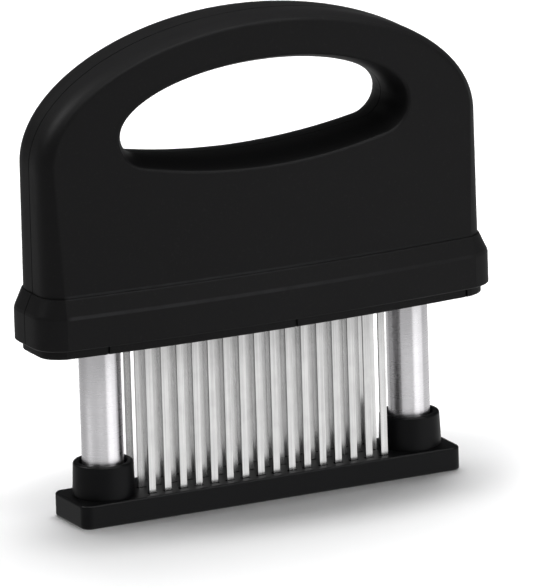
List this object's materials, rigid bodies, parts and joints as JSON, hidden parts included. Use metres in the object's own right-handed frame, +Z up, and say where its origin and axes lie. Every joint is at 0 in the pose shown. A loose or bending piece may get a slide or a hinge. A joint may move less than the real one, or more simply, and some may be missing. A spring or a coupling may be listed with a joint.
{
  "type": "blade meat tenderizer",
  "caption": "Two-post meat tenderizer: rows of flat blades under a sprung arch handle slide through a slotted base plate on two guide tubes.",
  "frame": {"origin": "centre of the base plate's underside", "axes": "+Z up along the guide tubes, +X along the blade rows, -Y out of the front face"},
  "size_m": [0.1516, 0.0346, 0.1497],
  "materials": {
    "housing_plastic": "fine-grained black moulding, semi-matt",
    "base_plastic": "smooth black moulding",
    "inner_plastic": "plain dark moulding",
    "bush_plastic": "natural slippery plastic",
    "blade_steel": "polished stainless strip",
    "tube_metal": "satin polished tube",
    "spring_steel": "drawn spring wire",
    "screw_steel": "zinc-plated"
  },
  "bodies": {
    "base": {"base_plate": "base_plastic", "base_screws": "screw_steel", "guide_tube_left": "tube_metal", "guide_tube_right": "tube_metal", "tube_plug_left": "inner_plastic", "tube_plug_right": "inner_plastic", "stop_washer_left": "screw_steel", "stop_washer_right": "screw_steel", "retaining_ring_left": "spring_steel", "retaining_ring_right": "spring_steel", "spring_left": "spring_steel", "spring_right": "spring_steel"},
    "handle": {"housing_front": "housing_plastic", "housing_back": "housing_plastic", "bottom_cover": "housing_plastic", "blade_carrier": "inner_plastic", "blade_clamp_plate": "inner_plastic", "clamp_screws": "screw_steel", "housing_screws": "screw_steel", "cover_screws": "screw_steel", "blade_row_front": "blade_steel", "blade_row_middle": "blade_steel", "blade_row_back": "blade_steel", "guide_bush_left": "bush_plastic", "guide_bush_right": "bush_plastic", "spring_post_left": "inner_plastic", "spring_post_right": "inner_plastic"}
  },
  "joints": [
    {"name": "handle_press", "type": "slide", "parent": "base", "child": "handle", "axis": [0, 0, -1], "range_m": [0, 0.035], "stiffness_N_per_m": 600, "springref_m": -0.02, "deforming": ["spring_left", "spring_right"]}
  ]
}
